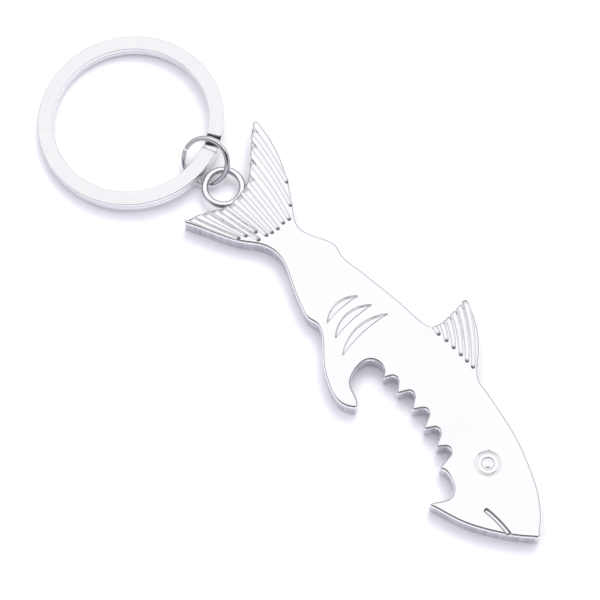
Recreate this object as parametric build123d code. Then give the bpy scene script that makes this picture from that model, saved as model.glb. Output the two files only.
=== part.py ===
"""Souvenir bottle opener: a cast shark with a jump ring and a split key ring.

Millimetres.  The flat back of the casting lies on z = 0 and its decorated face looks up.
+X runs towards the nose, +Y towards the back fin.
"""
import math
import os

from build123d import *

# ---------------------------------------------------------------- driving dimensions
THICKNESS = 3.6           # the casting, back face to decorated face
EDGE_ROUND = 0.4          # soft edge all round both faces
RELIEF_DEPTH = 0.35       # fin channels and gills are sunk this far
CHANNEL_MOUTH = 0.85      # width of a channel between two fin rays, at the fin's edge
CHANNEL_END = 0.5         # and at its closed end

TAIL_EYE = (-36.0, 0.0)   # centre of the loop between the tail lobes
TAIL_EYE_RADIUS = 3.0     # to the middle of the loop's section
TAIL_EYE_SECTION = 0.52   # half width of the loop's round section
TAIL_EYE_HEIGHT = 2.1     # the loop's middle above the back face

WIRE = 0.9                # jump ring wire
JUMP_RADIUS = 3.8         # to the middle of the wire: 8.5 mm over all
JUMP_OFFSET = (-5.05, 0.41)   # jump ring's middle from the tail eye's middle
JUMP_YAW = 15.0           # turn of the jump ring's level diameter from X
JUMP_TILT = 38.0          # its +Y side stands up, its -Y side rests on the table
JUMP_CUT = 3.0            # degrees of wire missing at the closing cut

KEY_RADIUS = 13.8         # to the middle of the band: 30 mm over all, 25.2 mm inside
BAND_WIDTH = 2.4
TURN_HEIGHT = 1.0         # each of the two turns
BAND_CORNER = 0.3
KEY_BEARING = 199.0       # direction from the jump ring to the key ring's middle
KEY_SHIFT = 0.27          # the band lies this far beyond the jump ring's middle
STEP_START = 7.5          # the step between the turns, in degrees of the key ring,
STEP_SWEEP = 15.0         # counted from the jump ring towards the back fin
TABLE_GAP = 0.02

# ---------------------------------------------------------------- outline of the casting
BACK = [(39.3, 0.65), (36.8, 3.1), (33.8, 5.0), (30.3, 6.5), (26.3, 7.8), (21.5, 8.75),
        (16.6, 9.45)]
FIN_FRONT = [(16.6, 9.45), (14.2, 10.05), (11.85, 12.3), (9.35, 14.4), (6.85, 15.85), (2.5, 17.2)]
FIN_REAR = [(2.5, 17.2), (3.45, 15.4), (3.65, 13.7), (3.8, 12.2), (3.2, 9.6)]
LOIN = [(3.2, 9.6), (1.6, 9.1), (-1.2, 8.8), (-6.8, 8.0), (-12.3, 7.0), (-14.6, 6.75), (-16.7, 7.1),
        (-18.3, 6.5), (-20.3, 5.35), (-22.8, 4.6), (-24.7, 5.35), (-29.1, 7.95), (-34.0, 10.0),
        (-41.7, 11.15)]
FORK = [(-41.7, 11.15), (-38.7, 7.8), (-35.4, 4.85), (-33.6, 2.6), (-32.95, 0.1), (-32.75, -1.8),
        (-33.8, -4.2), (-34.5, -6.2), (-35.9, -9.8)]
BELLY = [(-35.9, -9.8), (-30.5, -6.55), (-26.3, -3.9), (-23.9, -1.9), (-21.4, -1.05),
         (-16.0, -2.5), (-11.6, -4.0), (-9.9, -4.25), (-8.2, -3.8), (-6.7, -4.25), (-3.1, -6.95),
         (0.6, -8.85), (2.6, -9.4), (6.2, -7.9)]
HOOK = [(6.2, -7.9), (5.3, -7.05), (2.6, -6.15), (1.2, -3.6), (1.5, -1.3), (2.7, -0.5),
        (5.0, -2.15)]
# bite of the opener: tip, notch, tip ...: x, y, corner radius
BITE = [(5.0, -2.15, 0.3), (6.2, 0.6, 0.8), (8.45, -1.8, 0.3), (9.76, 1.05, 0.8),
        (11.95, -1.75, 0.3), (13.55, 1.1, 0.8), (15.42, -2.5, 0.3), (17.0, 0.35, 0.8),
        (18.85, -2.85, 0.3), (20.85, 0.05, 0.8), (21.72, -4.85, 0.3)]
POCKET = [(21.72, -4.85), (22.5, -4.15), (24.1, -4.2), (25.7, -4.95), (26.35, -6.2), (25.75, -7.9),
          (25.0, -9.6)]
JAW = [(25.0, -9.6), (27.8, -8.55), (30.9, -7.25), (33.6, -5.6), (35.9, -3.9), (39.4, -0.6)]
NOSE_TIP = (39.8, 0.05)
TIPS = [((2.5, 17.2), 0.5), ((3.2, 9.6), 0.6), ((-41.7, 11.15), 0.4), ((-35.9, -9.8), 0.4),
        ((6.2, -7.9), 0.5), ((5.0, -2.15), 0.3), ((21.72, -4.85), 0.3), ((25.0, -9.6), 0.25)]

# ---------------------------------------------------------------- relief on the face
# each channel: its open end at the fin's edge, a point on its middle line, its closed end
DORSAL_CHANNELS = [((2.9, 10.1), (4.0, 9.97), (5.1, 9.75)),
                   ((3.3, 11.5), (5.07, 10.9), (6.7, 10.0)),
                   ((3.4, 12.8), (5.97, 11.67), (8.3, 10.1)),
                   ((3.2, 14.2), (6.73, 12.5), (9.9, 10.2)),
                   ((3.0, 15.6), (7.39, 13.3), (11.3, 10.25)),
                   ((3.3, 16.7), (8.26, 13.92), (12.65, 10.3))]
TAIL_CHANNELS = [((-40.4, 9.55), (-35.0, 8.95), (-29.8, 8.0)),
                 ((-38.3, 7.75), (-32.0, 7.05), (-26.4, 5.9)),
                 ((-36.3, 5.75), (-30.0, 5.2), (-24.7, 4.2)),
                 ((-34.1, 3.8), (-29.0, 3.45), (-24.8, 3.07)),
                 ((-33.3, 2.05), (-29.0, 1.97), (-24.6, 1.78)),
                 ((-32.9, 0.52), (-29.0, 0.57), (-24.7, 0.66)),
                 ((-32.7, -1.35), (-29.0, -0.8), (-24.9, -0.3)),
                 ((-33.2, -2.95), (-30.0, -2.25), (-26.4, -1.25)),
                 ((-33.8, -4.1), (-29.5, -2.95), (-25.1, -1.75)),
                 ((-34.2, -5.5), (-30.5, -4.3), (-26.9, -2.85)),
                 ((-35.2, -7.9), (-31.5, -6.2), (-27.3, -4.05))]
# each gill: lower tip, outer bulge, inner bulge, upper tip
GILLS = [((-1.85, -3.95), (-3.85, 1.2), (-2.7, 1.2), (-2.55, 5.6)),
         ((-4.75, -2.95), (-6.6, 1.3), (-5.35, 1.3), (-5.3, 4.7)),
         ((-7.5, -2.3), (-8.95, 1.3), (-7.95, 1.3), (-7.8, 4.0))]
EYE = (25.97, 1.73)
EYE_RING = (2.0, 1.65)    # outer and inner radius of the groove round the eye
PUPIL_RING = (0.98, 0.7)
EYE_DEPTH = 0.2
PUPIL_DEPTH = 0.12
MOUTH = ((31.5, -3.4), (34.3, -3.12), (37.4, -3.3))
MOUTH_WIDTH = 0.68
MOUTH_DEPTH = 0.3


def outline():
    """Closed outline of the casting, seen from above, with its fin tips rounded."""
    bite = FilletPolyline(*[(x, y) for x, y, r in BITE], radius=[r for x, y, r in BITE[1:-1]])
    nose = ThreePointArc(JAW[-1], NOSE_TIP, BACK[0])
    curves = [Spline(*points) for points in (BACK, FIN_FRONT, FIN_REAR, LOIN, FORK, BELLY, HOOK)]
    wire = Wire(curves + list(bite.edges()) + [Spline(*POCKET), Spline(*JAW), nose])
    face = Sketch() + make_face(wire)
    for place, radius in TIPS:
        tip = face.vertices().sort_by_distance((place[0], place[1], 0))[0]
        face = fillet(tip, radius)
    return face


def channel(open_end, middle, closed_end):
    """Tapered, bowed slot from a fin's edge to a round end inside the fin."""
    points = [Vector(*place) for place in (open_end, middle, closed_end)]
    runs = (points[1] - points[0], points[2] - points[0], points[2] - points[1])
    halves = (CHANNEL_MOUTH / 2, (CHANNEL_MOUTH + CHANNEL_END) / 4, CHANNEL_END / 2)
    sides = [run.normalized().rotate(Axis.Z, 90) * half for run, half in zip(runs, halves)]
    left = [point + side for point, side in zip(points, sides)]
    right = [point - side for point, side in zip(points, sides)]
    tip = points[2] + runs[2].normalized() * halves[2]
    return make_face([ThreePointArc(*left), ThreePointArc(left[2], tip, right[2]),
                      ThreePointArc(*reversed(right)), Line(right[0], left[0])])


def gill(lower, outer, inner, upper):
    """Crescent between two arcs."""
    return make_face([ThreePointArc(lower, outer, upper), ThreePointArc(upper, inner, lower)])


def sunk(sketch, depth):
    """Cutter that sinks a sketch into the decorated face."""
    return extrude(Pos(0, 0, THICKNESS - depth) * sketch, amount=2 * depth)


def tail_eye():
    """Cast loop in the tail's fork, for the jump ring."""
    return Pos(*TAIL_EYE, TAIL_EYE_HEIGHT) * Torus(TAIL_EYE_RADIUS, TAIL_EYE_SECTION)


def opener_body():
    """The whole casting: shark, bite, relief and tail eye."""
    body = extrude(outline(), amount=THICKNESS)
    rims = body.edges().filter_by(Plane.XY)
    body = fillet(rims, EDGE_ROUND)
    for ends in DORSAL_CHANNELS + TAIL_CHANNELS:
        body -= sunk(channel(*ends), RELIEF_DEPTH)
    for points in GILLS:
        body -= sunk(gill(*points), RELIEF_DEPTH)
    for (outer, inner), depth in ((EYE_RING, EYE_DEPTH), (PUPIL_RING, PUPIL_DEPTH)):
        body -= sunk(Pos(*EYE) * (Circle(outer) - Circle(inner)), depth)
    body -= sunk(trace(ThreePointArc(*MOUTH), MOUTH_WIDTH), MOUTH_DEPTH)
    return body + tail_eye()


def jump_frame():
    """Plane of the jump ring: its X is the level diameter, its Y the tilted one."""
    height = JUMP_RADIUS * math.sin(math.radians(JUMP_TILT)) + WIRE / 2 + TABLE_GAP
    middle = (TAIL_EYE[0] + JUMP_OFFSET[0], TAIL_EYE[1] + JUMP_OFFSET[1], height)
    return Location(middle) * Rot(0, 0, JUMP_YAW) * Rot(JUMP_TILT, 0, 0)


def jump_ring():
    """Round wire bent to a circle, cut at the side away from the tail eye."""
    section = Plane.XZ * Pos(JUMP_RADIUS, 0) * Circle(WIRE / 2)
    wire = revolve(section, Axis.Z, 360 - JUMP_CUT)
    return jump_frame() * Rot(0, 0, 180 + JUMP_CUT / 2) * wire


def key_frame():
    """Frame of the key ring: X points from its middle to the jump ring."""
    near = jump_frame().position
    far_height = TURN_HEIGHT + 0.08
    droop = math.asin((near.Z - far_height) / (2 * KEY_RADIUS))
    reach = KEY_SHIFT + KEY_RADIUS * math.cos(droop)
    bearing = math.radians(KEY_BEARING)
    middle = (near.X + reach * math.cos(bearing), near.Y + reach * math.sin(bearing),
              near.Z - KEY_RADIUS * math.sin(droop))
    return Location(middle) * Rot(0, 0, KEY_BEARING - 180) * Rot(0, -math.degrees(droop), 0)


def band_section(height):
    """Section of one turn, its lower face at the given height."""
    return Pos(KEY_RADIUS, height + TURN_HEIGHT / 2) * RectangleRounded(
        BAND_WIDTH, TURN_HEIGHT, BAND_CORNER)


def turn_arc(height):
    """One turn of the flat band, less the step."""
    turn = revolve(Plane.XZ * band_section(height), Axis.Z, 360 - STEP_SWEEP)
    return Rot(0, 0, STEP_START + STEP_SWEEP) * turn


def turn_step():
    """Short length of band that climbs from the lower turn to the upper one."""
    sections = []
    for share in (0, 0.25, 0.5, 0.75, 1):
        climb = TURN_HEIGHT * (1 - math.cos(math.pi * share)) / 2
        upright = Plane.XZ * band_section(climb - TURN_HEIGHT)
        sections.append(Rot(0, 0, STEP_START + STEP_SWEEP * share) * upright)
    return loft(sections)


def key_ring():
    """Two flat turns, one over the other, joined by a short step."""
    return key_frame() * (turn_arc(-TURN_HEIGHT) + turn_arc(0) + turn_step())


if __name__ == "__main__":
    os.makedirs("parts", exist_ok=True)
    for piece in (opener_body, jump_ring, key_ring):
        export_step(piece(), f"parts/{piece.__name__}.step")
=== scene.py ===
"""Souvenir bottle opener: the visual model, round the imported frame.

Shapes are worked out in millimetres, in the frame of the CAD model (the flat back of the casting on
z = 0, +X to the nose, +Y to the back fin), and put into the meshes in metres.
"""
import math

import bpy
import numpy as np
from mathutils import Matrix, Vector
from mathutils.geometry import delaunay_2d_cdt


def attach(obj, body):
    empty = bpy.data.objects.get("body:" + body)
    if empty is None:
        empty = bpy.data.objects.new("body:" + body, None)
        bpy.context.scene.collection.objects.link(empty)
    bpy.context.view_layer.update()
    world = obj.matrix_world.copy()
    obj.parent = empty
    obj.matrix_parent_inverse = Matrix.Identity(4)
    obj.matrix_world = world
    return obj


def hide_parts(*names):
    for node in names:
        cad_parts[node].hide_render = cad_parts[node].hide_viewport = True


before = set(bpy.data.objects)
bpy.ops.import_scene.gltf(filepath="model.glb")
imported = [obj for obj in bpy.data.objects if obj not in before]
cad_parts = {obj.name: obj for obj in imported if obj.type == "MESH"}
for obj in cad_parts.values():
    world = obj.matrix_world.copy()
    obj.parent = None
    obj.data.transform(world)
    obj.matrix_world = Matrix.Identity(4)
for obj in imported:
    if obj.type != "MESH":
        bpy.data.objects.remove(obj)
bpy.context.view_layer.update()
MM = 0.001

# ---------------------------------------------------------------- sizes of the casting
THICKNESS = 3.6           # back face to decorated face
EDGE_ROUND = 0.4          # soft edge all round both faces
RELIEF_DEPTH = 0.36
CHANNEL_MOUTH = 0.85      # width of a channel between two fin rays, at the fin's edge
CHANNEL_END = 0.5         # and at its closed end
SHOULDER = 0.12           # a sunk edge starts this far outside its line
FOOT = 0.12               # and reaches full depth this far inside it
EYE_SLOPE = (0.05, 0.07)  # the same two distances for the eye's grooves
MOUTH_SLOPE = (0.08, 0.18)   # and for the mouth

BACK = [(39.3, 0.65), (36.8, 3.1), (33.8, 5.0), (30.3, 6.5), (26.3, 7.8), (21.5, 8.75),
        (16.6, 9.45)]
FIN_FRONT = [(16.6, 9.45), (14.2, 10.05), (11.85, 12.3), (9.35, 14.4), (6.85, 15.85), (2.5, 17.2)]
FIN_REAR = [(2.5, 17.2), (3.45, 15.4), (3.65, 13.7), (3.8, 12.2), (3.2, 9.6)]
LOIN = [(3.2, 9.6), (1.6, 9.1), (-1.2, 8.8), (-6.8, 8.0), (-12.3, 7.0), (-14.6, 6.75), (-16.7, 7.1),
        (-18.3, 6.5), (-20.3, 5.35), (-22.8, 4.6), (-24.7, 5.35), (-29.1, 7.95), (-34.0, 10.0),
        (-41.7, 11.15)]
FORK = [(-41.7, 11.15), (-38.7, 7.8), (-35.4, 4.85), (-33.6, 2.6), (-32.95, 0.1), (-32.75, -1.8),
        (-33.8, -4.2), (-34.5, -6.2), (-35.9, -9.8)]
BELLY = [(-35.9, -9.8), (-30.5, -6.55), (-26.3, -3.9), (-23.9, -1.9), (-21.4, -1.05),
         (-16.0, -2.5), (-11.6, -4.0), (-9.9, -4.25), (-8.2, -3.8), (-6.7, -4.25), (-3.1, -6.95),
         (0.6, -8.85), (2.6, -9.4), (6.2, -7.9)]
HOOK = [(6.2, -7.9), (5.3, -7.05), (2.6, -6.15), (1.2, -3.6), (1.5, -1.3), (2.7, -0.5),
        (5.0, -2.15)]
# bite of the opener: tip, notch, tip ...: x, y, corner radius
BITE = [(5.0, -2.15, 0.3), (6.2, 0.6, 0.8), (8.45, -1.8, 0.3), (9.76, 1.05, 0.8),
        (11.95, -1.75, 0.3), (13.55, 1.1, 0.8), (15.42, -2.5, 0.3), (17.0, 0.35, 0.8),
        (18.85, -2.85, 0.3), (20.85, 0.05, 0.8), (21.72, -4.85, 0.3)]
POCKET = [(21.72, -4.85), (22.5, -4.15), (24.1, -4.2), (25.7, -4.95), (26.35, -6.2), (25.75, -7.9),
          (25.0, -9.6)]
JAW = [(25.0, -9.6), (27.8, -8.55), (30.9, -7.25), (33.6, -5.6), (35.9, -3.9), (39.4, -0.6)]
NOSE_TIP = (39.8, 0.05)

# each channel: its open end at the fin's edge, a point on its middle line, its closed end
DORSAL_CHANNELS = [((2.9, 10.1), (4.0, 9.97), (5.1, 9.75)),
                   ((3.3, 11.5), (5.07, 10.9), (6.7, 10.0)),
                   ((3.4, 12.8), (5.97, 11.67), (8.3, 10.1)),
                   ((3.2, 14.2), (6.73, 12.5), (9.9, 10.2)),
                   ((3.0, 15.6), (7.39, 13.3), (11.3, 10.25)),
                   ((3.3, 16.7), (8.26, 13.92), (12.65, 10.3))]
TAIL_CHANNELS = [((-40.4, 9.55), (-35.0, 8.95), (-29.8, 8.0)),
                 ((-38.3, 7.75), (-32.0, 7.05), (-26.4, 5.9)),
                 ((-36.3, 5.75), (-30.0, 5.2), (-24.7, 4.2)),
                 ((-34.1, 3.8), (-29.0, 3.45), (-24.8, 3.07)),
                 ((-33.3, 2.05), (-29.0, 1.97), (-24.6, 1.78)),
                 ((-32.9, 0.52), (-29.0, 0.57), (-24.7, 0.66)),
                 ((-32.7, -1.35), (-29.0, -0.8), (-24.9, -0.3)),
                 ((-33.2, -2.95), (-30.0, -2.25), (-26.4, -1.25)),
                 ((-33.8, -4.1), (-29.5, -2.95), (-25.1, -1.75)),
                 ((-34.2, -5.5), (-30.5, -4.3), (-26.9, -2.85)),
                 ((-35.2, -7.9), (-31.5, -6.2), (-27.3, -4.05))]
# each gill: lower tip, outer bulge, inner bulge, upper tip
GILLS = [((-1.85, -3.95), (-3.85, 1.2), (-2.7, 1.2), (-2.55, 5.6)),
         ((-4.75, -2.95), (-6.6, 1.3), (-5.35, 1.3), (-5.3, 4.7)),
         ((-7.5, -2.3), (-8.95, 1.3), (-7.95, 1.3), (-7.8, 4.0))]
EYE = (25.97, 1.73)
EYE_RING = (2.0, 1.65)    # outer and inner radius of the groove round the eye
PUPIL_RING = (0.98, 0.7)
EYE_DEPTH = 0.2
PUPIL_DEPTH = 0.12
MOUTH = ((31.5, -3.4), (34.3, -3.12), (37.4, -3.3))
MOUTH_WIDTH = 0.68
MOUTH_DEPTH = 0.3

TAIL_EYE = (-36.0, 0.0, 2.1)
TAIL_EYE_RADIUS = 3.0
TAIL_EYE_SECTION = 0.52
EYE_SQUARE = 0.75         # 1 is a round section, less is squarer

# ---------------------------------------------------------------- sizes of the rings
WIRE = 0.9
JUMP_RADIUS = 3.8
JUMP_OFFSET = (-5.05, 0.41)
JUMP_YAW = 15.0
JUMP_TILT = 38.0
JUMP_CUT = 3.0
KEY_RADIUS = 13.8
BAND_WIDTH = 2.4
TURN_HEIGHT = 1.0
BAND_CORNER = 0.11
KEY_BEARING = 199.0
KEY_SHIFT = 0.27
STEP_START = 7.5
STEP_SWEEP = 15.0
TABLE_GAP = 0.02

RUN_SPACING = 0.2         # between points along an edge
RELIEF_SPACING = 0.18     # and along the edges of the relief
GRID_SPACING = 1.6        # between the points of the plain face
LEAST_GAP = 0.035         # nearer points are merged
PAST_EDGE = 1.5           # a channel's cutter starts this far outside the fin
RIM_STEPS = (0.02, 0.07, 0.14, 0.23, 0.32, 0.4, 0.5)   # loops inside the outline
EDGE_STEPS = (-0.18, -0.12, -0.07, -0.02, 0.03, 0.08, 0.12, 0.19)   # loops about a sunk edge
EYE_STEPS = (-0.08, -0.04, 0.0, 0.04, 0.08)   # circles about an edge of the eye's grooves


# ---------------------------------------------------------------- marks for the materials, all painted shade
SHADE_CLOSED_END = 1.0     # painted shade at a channel's closed end
SHADE_OPEN_END = 0.45      # and at its open end
SHADE_RADIUS = 0.36
SHADE_MOUTH = 3.2          # painted shade on the mouth's slopes
RIM_WALL_SHADE = 0.7           # the rim counts this much as a side wall, in the painted shade and the roughness
EYE_SHADE_START = 0.62    # painted shade on the tail eye starts at this share of its half width
EYE_SHADE_RUN = 0.25
# strength of the painted shade on the tail eye's flanks
EYE_SHADE = 1.6


# ---------------------------------------------------------------- plane curves
def lengths(points):
    """Distance along a run of points, at each point."""
    steps = np.linalg.norm(np.diff(points, axis=0), axis=1)
    return np.concatenate([[0.0], np.cumsum(steps)])


def at_length(points, where):
    """Points at the given distances along a run."""
    along = lengths(points)
    return np.stack([np.interp(where, along, points[:, i]) for i in (0, 1)], axis=-1)


def spline(points, spacing=RUN_SPACING):
    """Smooth cubic through the points, as evenly spaced points."""
    p = np.array(points, float)
    t = lengths(p)
    h = np.diff(t)
    n = len(p)
    a = np.zeros((n, n))
    b = np.zeros((n, 2))
    for i in range(1, n - 1):
        a[i, i - 1:i + 2] = h[i - 1], 2 * (h[i - 1] + h[i]), h[i]
        b[i] = 6 * ((p[i + 1] - p[i]) / h[i] - (p[i] - p[i - 1]) / h[i - 1])
    a[0, :3] = h[1], -(h[0] + h[1]), h[0]
    a[-1, -3:] = h[-1], -(h[-1] + h[-2]), h[-2]
    m = np.linalg.solve(a, b)
    u = np.linspace(0, t[-1], int(t[-1] / spacing) + 2)
    k = np.clip(np.searchsorted(t, u, side="right") - 1, 0, n - 2)
    d = h[k][:, None]
    f = (u - t[k])[:, None] / d
    g = 1 - f
    return g * p[k] + f * p[k + 1] + ((g ** 3 - g) * m[k] + (f ** 3 - f) * m[k + 1]) * d * d / 6


def straight(start, end):
    """Evenly spaced points on a straight run."""
    start = np.array(start, float)
    end = np.array(end, float)
    count = int(np.linalg.norm(end - start) / RUN_SPACING) + 2
    return start + np.linspace(0, 1, count)[:, None] * (end - start)


def circle_through(p, q, r):
    """Centre and radius of the circle through three points."""
    (ax, ay), (bx, by), (cx, cy) = p, q, r
    d = 2 * (ax * (by - cy) + bx * (cy - ay) + cx * (ay - by))
    sa, sb, sc = ax * ax + ay * ay, bx * bx + by * by, cx * cx + cy * cy
    x = (sa * (by - cy) + sb * (cy - ay) + sc * (ay - by)) / d
    y = (sa * (cx - bx) + sb * (ax - cx) + sc * (bx - ax)) / d
    return np.array([x, y]), math.hypot(ax - x, ay - y)


def arc(p, q, r, spacing=RUN_SPACING):
    """Points on the arc from p through q to r."""
    centre, radius = circle_through(p, q, r)
    start, middle, end = (math.atan2(s[1] - centre[1], s[0] - centre[0]) for s in (p, q, r))
    turn = (end - start) % (2 * math.pi)
    if (middle - start) % (2 * math.pi) > turn:
        turn -= 2 * math.pi
    angles = start + np.linspace(0, turn, int(abs(turn) * radius / spacing) + 3)
    return centre + radius * np.stack([np.cos(angles), np.sin(angles)], axis=-1)


def unit(v):
    return v / np.linalg.norm(v)


def round_corner(before, after, radius):
    """Cuts back two runs that meet at a corner, and gives them with the rounded corner's points."""
    back = before[::-1]
    reach = radius
    for _ in range(4):
        one = unit(at_length(back, reach) - back[0])
        two = unit(at_length(after, reach) - after[0])
        half = math.acos(max(-1.0, min(1.0, float(one @ two)))) / 2
        reach = radius / math.tan(half)
    turn = math.pi - 2 * half
    p0, p3 = at_length(back, reach), at_length(after, reach)
    into = unit(p0 - at_length(back, reach + 0.15))
    out = unit(at_length(after, reach + 0.15) - p3)
    handle = 4 / 3 * math.tan(turn / 4) * radius
    p1, p2 = p0 + handle * into, p3 - handle * out
    count = max(6, int(turn * radius / 0.11))
    f = np.linspace(0, 1, count + 1)[:, None]
    corner = ((1 - f) ** 3 * p0 + 3 * f * (1 - f) ** 2 * p1 + 3 * f * f * (1 - f) * p2 + f ** 3 * p3)
    keep_before = before[:-1][lengths(back)[::-1][:-1] > reach + 0.04]
    keep_after = after[1:][lengths(after)[1:] > reach + 0.04]
    return (np.concatenate([keep_before, [p0]]), corner, np.concatenate([[p3], keep_after]))


def outline():
    """Closed outline of the casting, counterclockwise, with its tips rounded."""
    runs = [(spline(BACK), 0), (spline(FIN_FRONT), 0.5), (spline(FIN_REAR), 0.6), (spline(LOIN), 0.4),
            (spline(FORK), 0.4), (spline(BELLY), 0.5), (spline(HOOK), BITE[0][2])]
    for (x1, y1, r1), (x2, y2, r2) in zip(BITE, BITE[1:]):
        runs.append((straight((x1, y1), (x2, y2)), r2))
    runs.append((spline(POCKET), 0.25))
    runs.append((spline(JAW), 0))
    runs.append((arc(JAW[-1], NOSE_TIP, BACK[0], 0.1), 0))
    pieces = [run for run, radius in runs]
    loop = []
    for i, (run, radius) in enumerate(runs):
        following = (i + 1) % len(runs)
        if radius:
            pieces[i], corner, pieces[following] = round_corner(pieces[i], pieces[following], radius)
            loop.append((i, corner))
    corners = dict(loop)
    points = []
    for i, piece in enumerate(pieces):
        points.extend(piece[:-1])
        if i in corners:
            points.extend(corners[i][:-1])
    return np.array(points)


def distance_to_run(points, run, half_widths=None):
    """Distance from each point to a run of straight pieces, or to the edge of a slot along it."""
    a, b = run[:-1], run[1:]
    d = b - a
    size = (d * d).sum(1)
    halves = np.zeros(len(run)) if half_widths is None else half_widths
    best = np.full(len(points), np.inf)
    for start in range(0, len(points), 2000):
        p = points[start:start + 2000, None, :]
        f = np.clip(((p - a) * d).sum(2) / size, 0, 1)
        off = p - (a + f[..., None] * d)
        gap = np.sqrt((off * off).sum(2)) - (halves[:-1] + f * (halves[1:] - halves[:-1]))
        best[start:start + 2000] = gap.min(1)
    return best


def inside_loop(points, loop):
    """True for each point inside a closed outline."""
    a, b = loop, np.roll(loop, -1, axis=0)
    inside = np.zeros(len(points), bool)
    for start in range(0, len(points), 4000):
        x, y = points[start:start + 4000, 0, None], points[start:start + 4000, 1, None]
        crosses = (a[:, 1] > y) != (b[:, 1] > y)
        rise = np.where(b[:, 1] == a[:, 1], 1e-12, b[:, 1] - a[:, 1])
        left = x < a[:, 0] + (y - a[:, 1]) / rise * (b[:, 0] - a[:, 0])
        inside[start:start + 4000] = (crosses & left).sum(1) % 2 == 1
    return inside


def normals_of(loop):
    """Inward unit normal at each point of a counterclockwise closed loop."""
    along = np.roll(loop, -1, axis=0) - np.roll(loop, 1, axis=0)
    along /= np.linalg.norm(along, axis=1)[:, None]
    return np.stack([-along[:, 1], along[:, 0]], axis=-1)


# ---------------------------------------------------------------- relief of the casting
def slot_points(run, half_widths, step, round_start):
    """Points on the line that lies a step outside a slot's edge."""
    reach = (half_widths + step)[:, None]
    along = np.gradient(run, axis=0)
    along /= np.linalg.norm(along, axis=1)[:, None]
    side = np.stack([-along[:, 1], along[:, 0]], axis=-1)
    points = [run + side * reach, run - side * reach]
    ends = [(run[-1], along[-1], reach[-1, 0])]
    if round_start:
        ends.append((run[0], -along[0], reach[0, 0]))
    for centre, forward, radius in ends:
        across = np.array([-forward[1], forward[0]])
        angles = np.linspace(0, math.pi, max(3, int(math.pi * radius / 0.1)) + 1)[1:-1, None]
        points.append(centre + radius * (np.cos(angles) * across + np.sin(angles) * forward))
    return np.concatenate(points)


def soft_sink(gap, shoulder=SHOULDER, foot=FOOT):
    """0 outside a sunk edge, 1 at its full depth, with both corners rounded."""
    t = np.clip((shoulder - gap) / (shoulder + foot), 0, 1)
    return t * t * (3 - 2 * t)


class Relief:
    """Everything sunk into the decorated face: its lines for the mesh and its depth anywhere."""

    def __init__(self):
        self.slots = []
        self.ends = []
        for open_end, middle, closed_end in DORSAL_CHANNELS + TAIL_CHANNELS:
            run = arc(open_end, middle, closed_end, RELIEF_SPACING)
            outside = straight(run[0] + PAST_EDGE * unit(run[0] - run[1]), run[0])[:-1]
            run = np.concatenate([outside, run])
            share = np.clip(lengths(run) - PAST_EDGE, 0, None) / (lengths(run)[-1] - PAST_EDGE)
            self.slots.append((run, (CHANNEL_MOUTH + (CHANNEL_END - CHANNEL_MOUTH) * share) / 2))
            # both ends of each channel get painted shade
            self.ends.append((run[-1], SHADE_CLOSED_END))
            self.ends.append((run[len(outside)] + 0.4 * unit(run[-1] - run[0]), SHADE_OPEN_END))
        self.mouth = arc(*MOUTH, RELIEF_SPACING)
        self.gills = []
        for lower, outer, inner, upper in GILLS:
            self.gills.append((circle_through(lower, outer, upper), circle_through(lower, inner, upper)))

    def lines(self):
        """Mesh points along every sunk edge."""
        points = []
        for run, half_widths in self.slots:
            for step in EDGE_STEPS:
                points.append(slot_points(run, half_widths, step, False))
            points.append(run)
        for step in EDGE_STEPS:
            points.append(slot_points(self.mouth, np.full(len(self.mouth), MOUTH_WIDTH / 2), step, True))
        points.append(self.mouth)
        for lower, outer, inner, upper in GILLS:
            for middle, sign in ((outer, 1), (inner, -1)):
                run = arc(lower, middle, upper, RELIEF_SPACING)
                centre = circle_through(lower, middle, upper)[0]
                away = (run - centre) / np.linalg.norm(run - centre, axis=1)[:, None]
                for step in EDGE_STEPS:
                    points.append(run + away * step * sign)
            for tip in (lower, upper):
                for step in EDGE_STEPS[4:]:
                    angles = np.linspace(0, 2 * math.pi, 10, endpoint=False)
                    points.append(np.array(tip) + step * np.stack([np.cos(angles), np.sin(angles)], axis=-1))
        for radius in EYE_RING + PUPIL_RING:
            for step in EYE_STEPS:
                angles = np.linspace(0, 2 * math.pi, int(2 * math.pi * radius / 0.1), endpoint=False)
                circle = np.stack([np.cos(angles), np.sin(angles)], axis=-1)
                points.append(np.array(EYE) + (radius + step) * circle)
        points.append(np.array([EYE]))
        return np.concatenate(points)

    def share(self, points):
        """Sunk share, 0 to 1, of the channels and gills at each point, of the eye, and of the mouth."""
        gap = np.full(len(points), np.inf)
        for run, half_widths in self.slots:
            gap = np.minimum(gap, distance_to_run(points, run, half_widths))
        for (outer, outer_radius), (inner, inner_radius) in self.gills:
            crescent = np.maximum(np.linalg.norm(points - outer, axis=1) - outer_radius,
                                  inner_radius - np.linalg.norm(points - inner, axis=1))
            gap = np.minimum(gap, crescent)
        reach = np.linalg.norm(points - np.array(EYE), axis=1)
        ring = np.maximum(reach - EYE_RING[0], EYE_RING[1] - reach)
        dome = np.clip(reach / PUPIL_RING[1], 0, 1) ** 2
        pupil = soft_sink(reach - PUPIL_RING[0], *EYE_SLOPE) * dome
        mouth = distance_to_run(points, self.mouth) - MOUTH_WIDTH / 2
        eye = np.maximum(soft_sink(ring, *EYE_SLOPE), pupil * PUPIL_DEPTH / EYE_DEPTH)
        return soft_sink(gap), eye, soft_sink(mouth, *MOUTH_SLOPE)

    def channel_end_shade(self, points):
        """Share, 0 to 1, of the painted shade, a dark mark near both ends of the channels."""
        painted_shade = np.zeros(len(points))
        for place, strength in self.ends:
            reach = np.linalg.norm(points - place, axis=1)
            painted_shade = np.maximum(painted_shade, strength * np.clip(1.25 - reach / SHADE_RADIUS, 0, 1))
        return painted_shade


def rim_drop(inset):
    """How far the rounded rim lies below the face at this distance inside the outline."""
    g = np.clip(1 - inset / EDGE_ROUND, 0, 1)
    return EDGE_ROUND * (1 - np.sqrt(np.maximum(0, 1 - g * g)))


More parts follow.
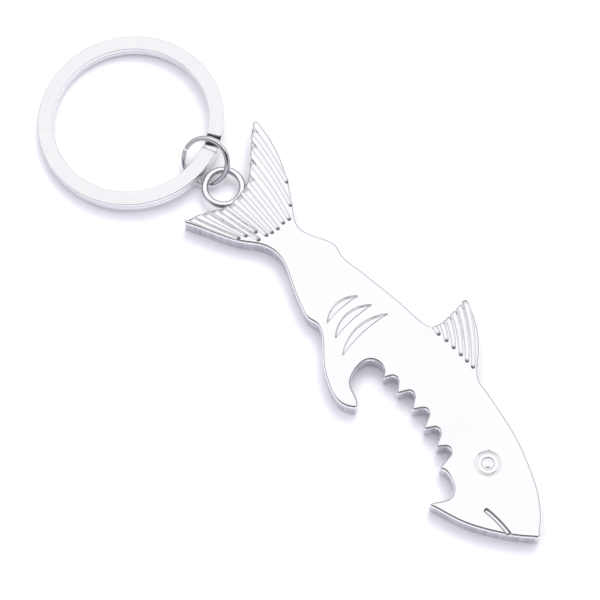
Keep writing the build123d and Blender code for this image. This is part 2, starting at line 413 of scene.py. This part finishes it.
def triangles(loop, extra):
    """Triangulates the inside of a loop with extra points in it: all points, and the faces."""
    points = np.concatenate([loop, extra])
    corners = [Vector((float(x), float(y))) for x, y in points]
    around = len(loop)
    edges = [(i, (i + 1) % around) for i in range(around)]
    found = delaunay_2d_cdt(corners, edges, [], 0, 1e-4)
    verts = np.array([(v.x, v.y) for v in found[0]])
    faces = np.array([f for f in found[2] if len(f) == 3])
    middles = verts[faces].mean(1)
    faces = faces[inside_loop(middles, loop)]
    of_input = {}
    for i, sources in enumerate(found[3]):
        for source in sources:
            of_input[source] = i
    rim = [of_input[i] for i in range(around)]
    a, b, c = (verts[faces[:, i]] for i in range(3))
    area = (b[:, 0] - a[:, 0]) * (c[:, 1] - a[:, 1]) - (b[:, 1] - a[:, 1]) * (c[:, 0] - a[:, 0])
    faces[area < 0] = faces[area < 0][:, ::-1]
    return verts, faces, rim


def thinned(points, spacing):
    """Drops points that nearly coincide with an earlier one."""
    seen = set()
    kept = []
    for x, y in points:
        key = (round(x / spacing), round(y / spacing))
        if key not in seen:
            seen.add(key)
            kept.append((x, y))
    return np.array(kept)


def inner_loops(loop, steps):
    """Loops inside the outline, without the stretches that fold over at tight corners."""
    inward = normals_of(loop)
    kept = []
    for step in steps:
        points = loop + inward * step
        true_inset = distance_to_run(points, np.concatenate([loop, loop[:1]]))
        kept.append(points[true_inset > step - 0.012])
    return np.concatenate(kept)


def mesh_object(name, verts, faces):
    """Smooth-shaded object in metres from points in millimetres."""
    mesh = bpy.data.meshes.new(name)
    places = [tuple(float(c) * MM for c in v) for v in verts]
    mesh.from_pydata(places, [], [list(map(int, f)) for f in faces])
    mesh.validate()
    mesh.shade_smooth()
    obj = bpy.data.objects.new(name, mesh)
    bpy.context.scene.collection.objects.link(obj)
    return obj


def tube_shell(rings):
    """Points and faces of a tube through rings of points, closed at both ends."""
    count = len(rings[0])
    verts = [p for ring in rings for p in ring]
    faces = []
    for i in range(len(rings) - 1):
        for j in range(count):
            k = (j + 1) % count
            faces.append((i * count + j, i * count + k, (i + 1) * count + k, (i + 1) * count + j))
    faces.append(tuple(reversed(range(count))))
    faces.append(tuple(range((len(rings) - 1) * count, len(rings) * count)))
    return verts, faces


def casting():
    """The shark: rounded rim, relief, walls, flat back and the tail eye."""
    loop = outline()
    closed = np.concatenate([loop, loop[:1]])
    relief = Relief()
    lines = relief.lines()
    lo, hi = loop.min(0), loop.max(0)
    across, along = (np.arange(lo[i], hi[i], GRID_SPACING) for i in (0, 1))
    grid = np.stack(np.meshgrid(across, along), -1).reshape(-1, 2)
    lines = lines[inside_loop(lines, loop)]
    lines = lines[distance_to_run(lines, closed) > 0.015]
    grid = grid[inside_loop(grid, loop)]
    grid = grid[distance_to_run(grid, closed) > 0.7]
    shares = relief.share(grid)
    grid = grid[np.maximum.reduce(shares) == 0]
    extra = thinned(np.concatenate([inner_loops(loop, RIM_STEPS), lines, grid]), LEAST_GAP)

    top, top_faces, top_rim = triangles(loop, extra)
    inset = distance_to_run(top, closed)
    inset[top_rim] = 0
    sunk, eye, mouth = relief.share(top)
    depth = np.maximum.reduce((sunk * RELIEF_DEPTH, eye * EYE_DEPTH, mouth * MOUTH_DEPTH))
    top_z = THICKNESS - rim_drop(inset) - depth

    base, base_faces, base_rim = triangles(loop, thinned(np.concatenate(
        [inner_loops(loop, RIM_STEPS), grid]), LEAST_GAP))
    base_inset = distance_to_run(base, closed)
    base_inset[base_rim] = 0
    base_z = rim_drop(base_inset)

    verts = [(x, y, z) for (x, y), z in zip(top, top_z)]
    recess = [float(v) for v in np.maximum(sunk, mouth)]
    # painted shade at the channel ends and on the mouth's slopes
    mouth_shade = SHADE_MOUTH * mouth * (1 - mouth)
    painted_shade = [float(v) for v in np.maximum(relief.channel_end_shade(top) * sunk, mouth_shade)]
    faces = [tuple(f) for f in top_faces]
    start = len(verts)
    verts += [(x, y, z) for (x, y), z in zip(base, base_z)]
    faces += [tuple(start + i for i in f[::-1]) for f in base_faces]
    upper = list(top_rim)
    count = len(loop)
    levels = (0.85, 0.6, 0.35, 0.12)
    for level in levels + (None,):
        if level is None:
            lower = [start + i for i in base_rim]
        else:
            lower = list(range(len(verts), len(verts) + count))
            verts += [(loop[i][0], loop[i][1], EDGE_ROUND + level * (top_z[top_rim[i]] - EDGE_ROUND))
                      for i in range(count)]
        faces += [(upper[i], lower[i], lower[(i + 1) % count], upper[(i + 1) % count])
                  for i in range(count)]
        upper = lower

    # painted shade: the side walls in full, the rims in part
    wall_shade = [0.0] * len(top) + [0.0] * len(base) + [1.0] * (len(verts) - len(top) - len(base))
    for i in top_rim + [start + i for i in base_rim]:
        wall_shade[i] = RIM_WALL_SHADE

    # the tail eye is a cast loop, flat on top, that runs into the tail
    around, across = 112, 28
    start = len(verts)
    for angle in np.linspace(0, 2 * math.pi, around, endpoint=False):
        for b in np.linspace(0, 2 * math.pi, across, endpoint=False):
            out = math.copysign(abs(math.cos(b)) ** EYE_SQUARE, math.cos(b))
            rise = math.copysign(abs(math.sin(b)) ** EYE_SQUARE, math.sin(b)) * TAIL_EYE_SECTION
            reach = TAIL_EYE_RADIUS + out * TAIL_EYE_SECTION
            verts.append((TAIL_EYE[0] + reach * math.cos(angle), TAIL_EYE[1] + reach * math.sin(angle),
                          TAIL_EYE[2] + rise))
            # painted shade on the loop's outer flanks
            wall_shade.append(min(1.0, max(0.0, (abs(out) - EYE_SHADE_START) / EYE_SHADE_RUN)) * EYE_SHADE)
    for i in range(around):
        for j in range(across):
            k, m = (i + 1) % around, (j + 1) % across
            faces.append((start + i * across + j, start + k * across + j,
                          start + k * across + m, start + i * across + m))
    obj = mesh_object("shark_casting", verts, faces)
    for name, values in (("recess", recess), ("painted_shade", painted_shade), ("wall_shade", wall_shade)):
        values += [0.0] * (len(verts) - len(values))
        obj.data.attributes.new(name, "FLOAT", "POINT").data.foreach_set("value", values)
    return obj


# ---------------------------------------------------------------- rings
def jump_matrix():
    height = JUMP_RADIUS * math.sin(math.radians(JUMP_TILT)) + WIRE / 2 + TABLE_GAP
    middle = Vector((TAIL_EYE[0] + JUMP_OFFSET[0], TAIL_EYE[1] + JUMP_OFFSET[1], height))
    turn = Matrix.Rotation(math.radians(JUMP_YAW), 4, "Z") @ Matrix.Rotation(math.radians(JUMP_TILT), 4, "X")
    return Matrix.Translation(middle) @ turn


def key_matrix():
    near = jump_matrix().translation
    droop = math.asin((near.z - TURN_HEIGHT - 0.08) / (2 * KEY_RADIUS))
    reach = KEY_SHIFT + KEY_RADIUS * math.cos(droop)
    bearing = math.radians(KEY_BEARING)
    middle = Vector((near.x + reach * math.cos(bearing), near.y + reach * math.sin(bearing),
                     near.z - KEY_RADIUS * math.sin(droop)))
    turn = Matrix.Rotation(bearing - math.pi, 4, "Z") @ Matrix.Rotation(-droop, 4, "Y")
    return Matrix.Translation(middle) @ turn


def swept(name, matrix, radius, start, end, steps, section, lift, end_round):
    """Strip or wire wound round an axis, from one cut end to the other, its ends a little rounded.

    section: the outline across it, (outward, upward).  lift: its height at an angle.
    """
    tips = [(end_round * (1 - math.cos(a)), 1 - end_round * (1 - math.sin(a)) / 0.45)
            for a in np.linspace(0, math.pi / 2, 5)]
    places = [(start + advance / radius, share) for advance, share in tips]
    inner = np.linspace(places[-1][0], end - (places[-1][0] - start), steps)
    places += [(a, 1.0) for a in inner[1:-1]]
    places += [(end - advance / radius, share) for advance, share in reversed(tips)]
    rings = []
    for angle, share in places:
        ring = []
        for out, up in section:
            reach = radius + out * share
            point = Vector((reach * math.cos(angle), reach * math.sin(angle), lift(angle) + up * share))
            ring.append(matrix @ point)
        rings.append(ring)
    verts, faces = tube_shell(rings)
    obj = mesh_object(name, verts, [tuple(reversed(f)) for f in faces])
    along = np.repeat([(a - start) * radius for a, share in places], len(section))
    round_it = np.tile(np.arange(len(section)) / len(section), len(places))
    for label, values in (("along", along), ("round_it", round_it)):
        attribute = obj.data.attributes.new(label, "FLOAT", "POINT")
        attribute.data.foreach_set("value", values.astype(np.float32))
    return obj


def jump_ring():
    """Round wire bent to a ring, with the cut where it was closed."""
    section = [(WIRE / 2 * math.cos(b), WIRE / 2 * math.sin(b))
               for b in np.linspace(0, 2 * math.pi, 32, endpoint=False)]
    gap = math.radians(JUMP_CUT / 2)
    return swept("jump_ring_wire", jump_matrix(), JUMP_RADIUS, math.pi + gap, 3 * math.pi - gap, 160,
                 section, lambda angle: 0.0, 0.05)


def band_outline():
    """Outline of the flat band with rounded corners, (outward, upward) from its middle."""
    points = []
    for sx, sy, first in ((1, 1, 0), (-1, 1, 90), (-1, -1, 180), (1, -1, 270)):
        cx = sx * (BAND_WIDTH / 2 - BAND_CORNER)
        cy = sy * (TURN_HEIGHT / 2 - BAND_CORNER)
        for b in np.linspace(0, 90, 8):
            a = math.radians(first + b)
            points.append((cx + BAND_CORNER * math.cos(a), cy + BAND_CORNER * math.sin(a)))
        if sy == 1 and sx == 1:
            points += [(x, TURN_HEIGHT / 2) for x in (0.8, 0.3, -0.3, -0.8)]
        if sy == -1 and sx == -1:
            points += [(x, -TURN_HEIGHT / 2) for x in (-0.8, -0.3, 0.3, 0.8)]
    return points


def key_ring():
    """Flat strip wound twice: the lower turn, the step up beside the jump ring, the upper turn."""
    first = math.radians(STEP_START + STEP_SWEEP)
    climb_start = math.radians(360 + STEP_START)
    climb_end = climb_start + math.radians(STEP_SWEEP)

    def lift(angle):
        share = min(1.0, max(0.0, (angle - climb_start) / (climb_end - climb_start)))
        return -TURN_HEIGHT / 2 + TURN_HEIGHT * (1 - math.cos(math.pi * share)) / 2

    return swept("split_key_ring", key_matrix(), KEY_RADIUS, first, climb_start + 2 * math.pi, 500,
                 band_outline(), lift, 0.08)


# ---------------------------------------------------------------- materials
class Nodes:
    """Short way to add and join shader nodes."""

    def __init__(self, tree):
        self.tree = tree
        self.tree.nodes.clear()

    def add(self, kind, inputs=None, **settings):
        node = self.tree.nodes.new("ShaderNode" + kind)
        for name, value in settings.items():
            setattr(node, name, value)
        for name, value in (inputs or {}).items():
            if isinstance(value, bpy.types.NodeSocket):
                self.tree.links.new(value, node.inputs[name])
            else:
                node.inputs[name].default_value = value
        return node

    def maths(self, operation, a, b=0.0, clamp=False):
        return self.add("Math", {0: a, 1: b}, operation=operation, use_clamp=clamp).outputs[0]

    def spread(self, value, low, high, to_low, to_high):
        return self.add("MapRange", {"Value": value, "From Min": low, "From Max": high,
                                     "To Min": to_low, "To Max": to_high}).outputs[0]

    def soft_step(self, value, start, end):
        inputs = {"Value": value, "From Min": start, "From Max": end}
        return self.add("MapRange", inputs, interpolation_type="SMOOTHSTEP").outputs[0]

    def metal(self, colour, rough, bump):
        shader = self.add("BsdfPrincipled", {"Base Color": colour, "Metallic": 1.0,
                                             "Roughness": rough, "Normal": bump})
        self.add("OutputMaterial", {"Surface": shader.outputs[0]})


def new_material(name):
    material = bpy.data.materials.new(name)
    material.use_nodes = True
    return material, Nodes(material.node_tree)


def casting_material():
    """Bright plating over zinc: faint ripple, buffing lines, side walls with streaked painted shade, and
    painted shade in the recesses.
    """
    material, n = new_material("bright plated casting")
    place = n.add("TexCoord").outputs["Object"]
    ripple = n.add("TexNoise", {"Vector": place, "Scale": 420.0, "Detail": 2.0}).outputs["Fac"]
    cloud = n.add("TexNoise", {"Vector": place, "Scale": 90.0, "Detail": 3.0}).outputs["Fac"]
    lay = n.add("Mapping", {"Vector": place, "Rotation": (0, 0, 0.35), "Scale": (260.0, 5200.0, 5200.0)})
    lines = n.add("TexNoise", {"Vector": lay.outputs[0], "Scale": 1.0, "Detail": 2.0}).outputs["Fac"]
    recess = n.add("Attribute", attribute_name="recess").outputs["Fac"]
    rough = n.maths("ADD", n.spread(lines, 0.3, 0.7, 0.035, 0.075), n.spread(cloud, 0.35, 0.65, 0.0, 0.02))
    rough = n.maths("ADD", rough, n.maths("MULTIPLY", recess, 0.02))
    wall_shade = n.add("Attribute", attribute_name="wall_shade").outputs["Fac"]
    upright = n.add("Mapping", {"Vector": place, "Scale": (1800.0, 1800.0, 60.0)})
    streaks = n.add("TexNoise", {"Vector": upright.outputs[0], "Scale": 1.0, "Detail": 3.0}).outputs["Fac"]
    rough = n.maths("ADD", rough, n.maths("MULTIPLY", wall_shade, 0.05))
    painted_shade = n.add("Attribute", attribute_name="painted_shade").outputs["Fac"]
    bright = n.add("MixRGB", {0: n.spread(cloud, 0.3, 0.7, 0.0, 1.0), 1: (0.945, 0.945, 0.95, 1),
                              2: (0.925, 0.925, 0.935, 1)}).outputs[0]
    # recesses painted slightly darker: painted shade
    sunk = n.add("MixRGB", {0: recess, 1: bright, 2: (0.92, 0.92, 0.93, 1)}).outputs[0]
    # painted shade: side walls, rims and the tail eye's flanks darkened to lavender grey in streaks,
    # standing for the shadowed table they mirror
    shade = n.maths("MULTIPLY", wall_shade, n.spread(streaks, 0.35, 0.65, 0.45, 0.8))
    side = n.add("MixRGB", {0: shade, 1: sunk, 2: (0.36, 0.36, 0.42, 1)}).outputs[0]
    # painted shade: near black at the channel ends and on the mouth's slopes
    colour = n.add("MixRGB", {0: painted_shade, 1: side, 2: (0.12, 0.12, 0.13, 1)}).outputs[0]
    height = n.maths("ADD", ripple, n.maths("MULTIPLY", lines, 0.02))
    bump = n.add("Bump", {"Height": height, "Strength": 0.3, "Distance": 0.00002}).outputs[0]
    n.metal(colour, rough, bump)
    return material


def drawn_material(name, bright, dull, roughness, across_scale):
    """Plated steel with fine lines along the strip, from drawing or rolling."""
    material, n = new_material(name)
    along = n.add("Attribute", attribute_name="along").outputs["Fac"]
    round_it = n.add("Attribute", attribute_name="round_it").outputs["Fac"]
    place = n.add("CombineXYZ", {0: n.maths("MULTIPLY", along, 0.35),
                                 1: n.maths("MULTIPLY", round_it, across_scale)})
    lines = n.add("TexNoise", {"Vector": place.outputs[0], "Scale": 1.0, "Detail": 3.0}).outputs["Fac"]
    cloud = n.add("TexNoise", {"Vector": n.add("TexCoord").outputs["Object"], "Scale": 350.0, "Detail": 3.0})
    cloud = cloud.outputs["Fac"]
    rough = n.maths("ADD", n.spread(lines, 0.3, 0.7, roughness * 0.7, roughness * 1.3),
                    n.spread(cloud, 0.35, 0.65, 0.0, 0.03))
    colour = n.add("MixRGB", {0: n.spread(cloud, 0.3, 0.7, 0.0, 1.0), 1: bright, 2: dull}).outputs[0]
    height = n.maths("ADD", n.maths("MULTIPLY", lines, 0.2), cloud)
    bump = n.add("Bump", {"Height": height, "Strength": 0.3, "Distance": 0.00001}).outputs[0]
    n.metal(colour, rough, bump)
    return material


def floor_material():
    material, n = new_material("white paper sweep")
    place = n.add("TexCoord").outputs["Object"]
    grain = n.add("TexNoise", {"Vector": place, "Scale": 900.0, "Detail": 3.0}).outputs["Fac"]
    colour = n.add("MixRGB", {0: grain, 1: (0.93, 0.93, 0.93, 1), 2: (0.9, 0.9, 0.9, 1)}).outputs[0]
    shader = n.add("BsdfPrincipled", {"Base Color": colour, "Roughness": 1.0, "Specular IOR Level": 0.0})
    n.add("OutputMaterial", {"Surface": shader.outputs[0]})
    return material


# ---------------------------------------------------------------- room
CAMERA_TURN = -39.93      # bearing of the camera from the middle of the object, in degrees
CAMERA_HEIGHT = 70.0      # its elevation
CAMERA_DISTANCE = 460.0
LOOK_AT = Vector((-13.07, -3.27, 3.6))
LIGHT_TURN = 122.0        # bearing the key light comes from
LIGHT_HEIGHT = 56.0
# a dark card high on the camera's side draws the dark line on the near rims
CARD_HEIGHT = 42.0        # elevation of its lower edge
CARD_BLUR = 0.05          # softness of that edge, as a share of the tent's height
CARD_SIDES = (0.03, 0.15)    # where it fades out, as a share of the way to the camera's bearing
CARD_DARKNESS = 0.98
# brightness of the tent against the height of the ray, 0 at the horizon and 1 overhead
TENT = ((0.0, 0.16), (0.15, 0.24), (0.35, 0.40), (0.60, 0.60), (0.78, 0.93), (0.86, 1.0))
TENT_TINT = (0.86, 0.125)    # share of red and green where dark, and what brightness adds to it
SKY = 1.07                # brightness of the white tent overhead


def direction(turn, height):
    t, h = math.radians(turn), math.radians(height)
    return Vector((math.cos(t) * math.cos(h), math.sin(t) * math.cos(h), math.sin(h)))


def build_camera():
    camera = bpy.data.objects.new("camera", bpy.data.cameras.new("camera"))
    bpy.context.scene.collection.objects.link(camera)
    towards = direction(CAMERA_TURN, CAMERA_HEIGHT)
    camera.location = (LOOK_AT + towards * CAMERA_DISTANCE) * MM
    camera.rotation_euler = towards.to_track_quat("Z", "Y").to_euler()
    camera.data.lens = 176.0
    camera.data.sensor_width = 36.0
    camera.data.clip_start = 0.01
    bpy.context.scene.camera = camera


def build_lamp(name, towards, distance, size, energy, colour):
    """Disk lamp aimed at the object.  It lights the table but isn't mirrored in the metal."""
    lamp = bpy.data.lights.new(name, "AREA")
    lamp.shape = "DISK"
    lamp.size = size
    lamp.energy = energy
    lamp.color = colour
    light = bpy.data.objects.new(name, lamp)
    bpy.context.scene.collection.objects.link(light)
    light.location = LOOK_AT * MM + towards * distance
    light.rotation_euler = towards.to_track_quat("Z", "Y").to_euler()
    light.visible_glossy = False


def build_world():
    """White tent: bright overhead, grey near the horizon, with a dark card high on the camera's side."""
    world = bpy.data.worlds.new("tent")
    world.use_nodes = True
    bpy.context.scene.world = world
    n = Nodes(world.node_tree)
    ray = n.add("TexCoord").outputs["Generated"]
    height = n.add("SeparateXYZ", {0: ray}).outputs[2]
    tent = n.add("ValToRGB", {0: height})
    ramp = tent.color_ramp
    while len(ramp.elements) < len(TENT):
        ramp.elements.new(0.5)
    for element, (place, value) in zip(ramp.elements, TENT):
        element.position = place
        tint = TENT_TINT[0] + TENT_TINT[1] * value
        element.color = (value * tint, value * tint, value, 1)
    toward = n.add("VectorMath", {0: ray, 1: direction(CAMERA_TURN, 0.0)}, operation="DOT_PRODUCT")
    toward = toward.outputs["Value"]
    low = math.sin(math.radians(CARD_HEIGHT))
    above = n.soft_step(height, low - CARD_BLUR, low + CARD_BLUR)
    across = n.soft_step(toward, *CARD_SIDES)
    card = n.maths("MULTIPLY", above, across)
    flag = n.maths("SUBTRACT", 1.0, n.maths("MULTIPLY", card, CARD_DARKNESS))
    lit = n.maths("MULTIPLY", flag, SKY)
    tent_light = n.add("Background", {"Color": tent.outputs[0], "Strength": lit})
    plain = n.add("Background", {"Color": (1, 1, 1, 1), "Strength": 1.0})
    seen = n.add("LightPath").outputs["Is Camera Ray"]
    both = n.add("MixShader", {0: seen, 1: tent_light.outputs[0], 2: plain.outputs[0]})
    n.add("OutputWorld", {"Surface": both.outputs[0]})


def build_floor():
    side = 2500.0
    corners = [(-side, -side, 0), (side, -side, 0), (side, side, 0), (-side, side, 0)]
    floor = mesh_object("floor", corners, [(0, 1, 2, 3)])
    floor.data.materials.append(floor_material())


build_camera()
build_lamp("key", direction(LIGHT_TURN, LIGHT_HEIGHT), distance=0.75, size=0.42, energy=1.5,
           colour=(1.0, 0.96, 0.86))
build_lamp("fill", direction(0.0, 90.0), distance=0.9, size=1.6, energy=9.8, colour=(0.88, 0.88, 1.0))
build_world()
build_floor()
bpy.context.scene.view_settings.view_transform = "Standard"

shark = casting()
shark.data.materials.append(casting_material())
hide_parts("opener_body")
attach(shark, "opener_body")

wire = jump_ring()
wire.data.materials.append(drawn_material("plated wire", bright=(0.93, 0.93, 0.94, 1),
                                          dull=(0.88, 0.88, 0.9, 1), roughness=0.13, across_scale=9.0))
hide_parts("jump_ring")
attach(wire, "jump_ring")

strip = key_ring()
strip.data.materials.append(drawn_material("plated band", bright=(0.88, 0.88, 0.89, 1),
                                           dull=(0.85, 0.85, 0.865, 1), roughness=0.09, across_scale=60.0))
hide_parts("key_ring")
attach(strip, "key_ring")
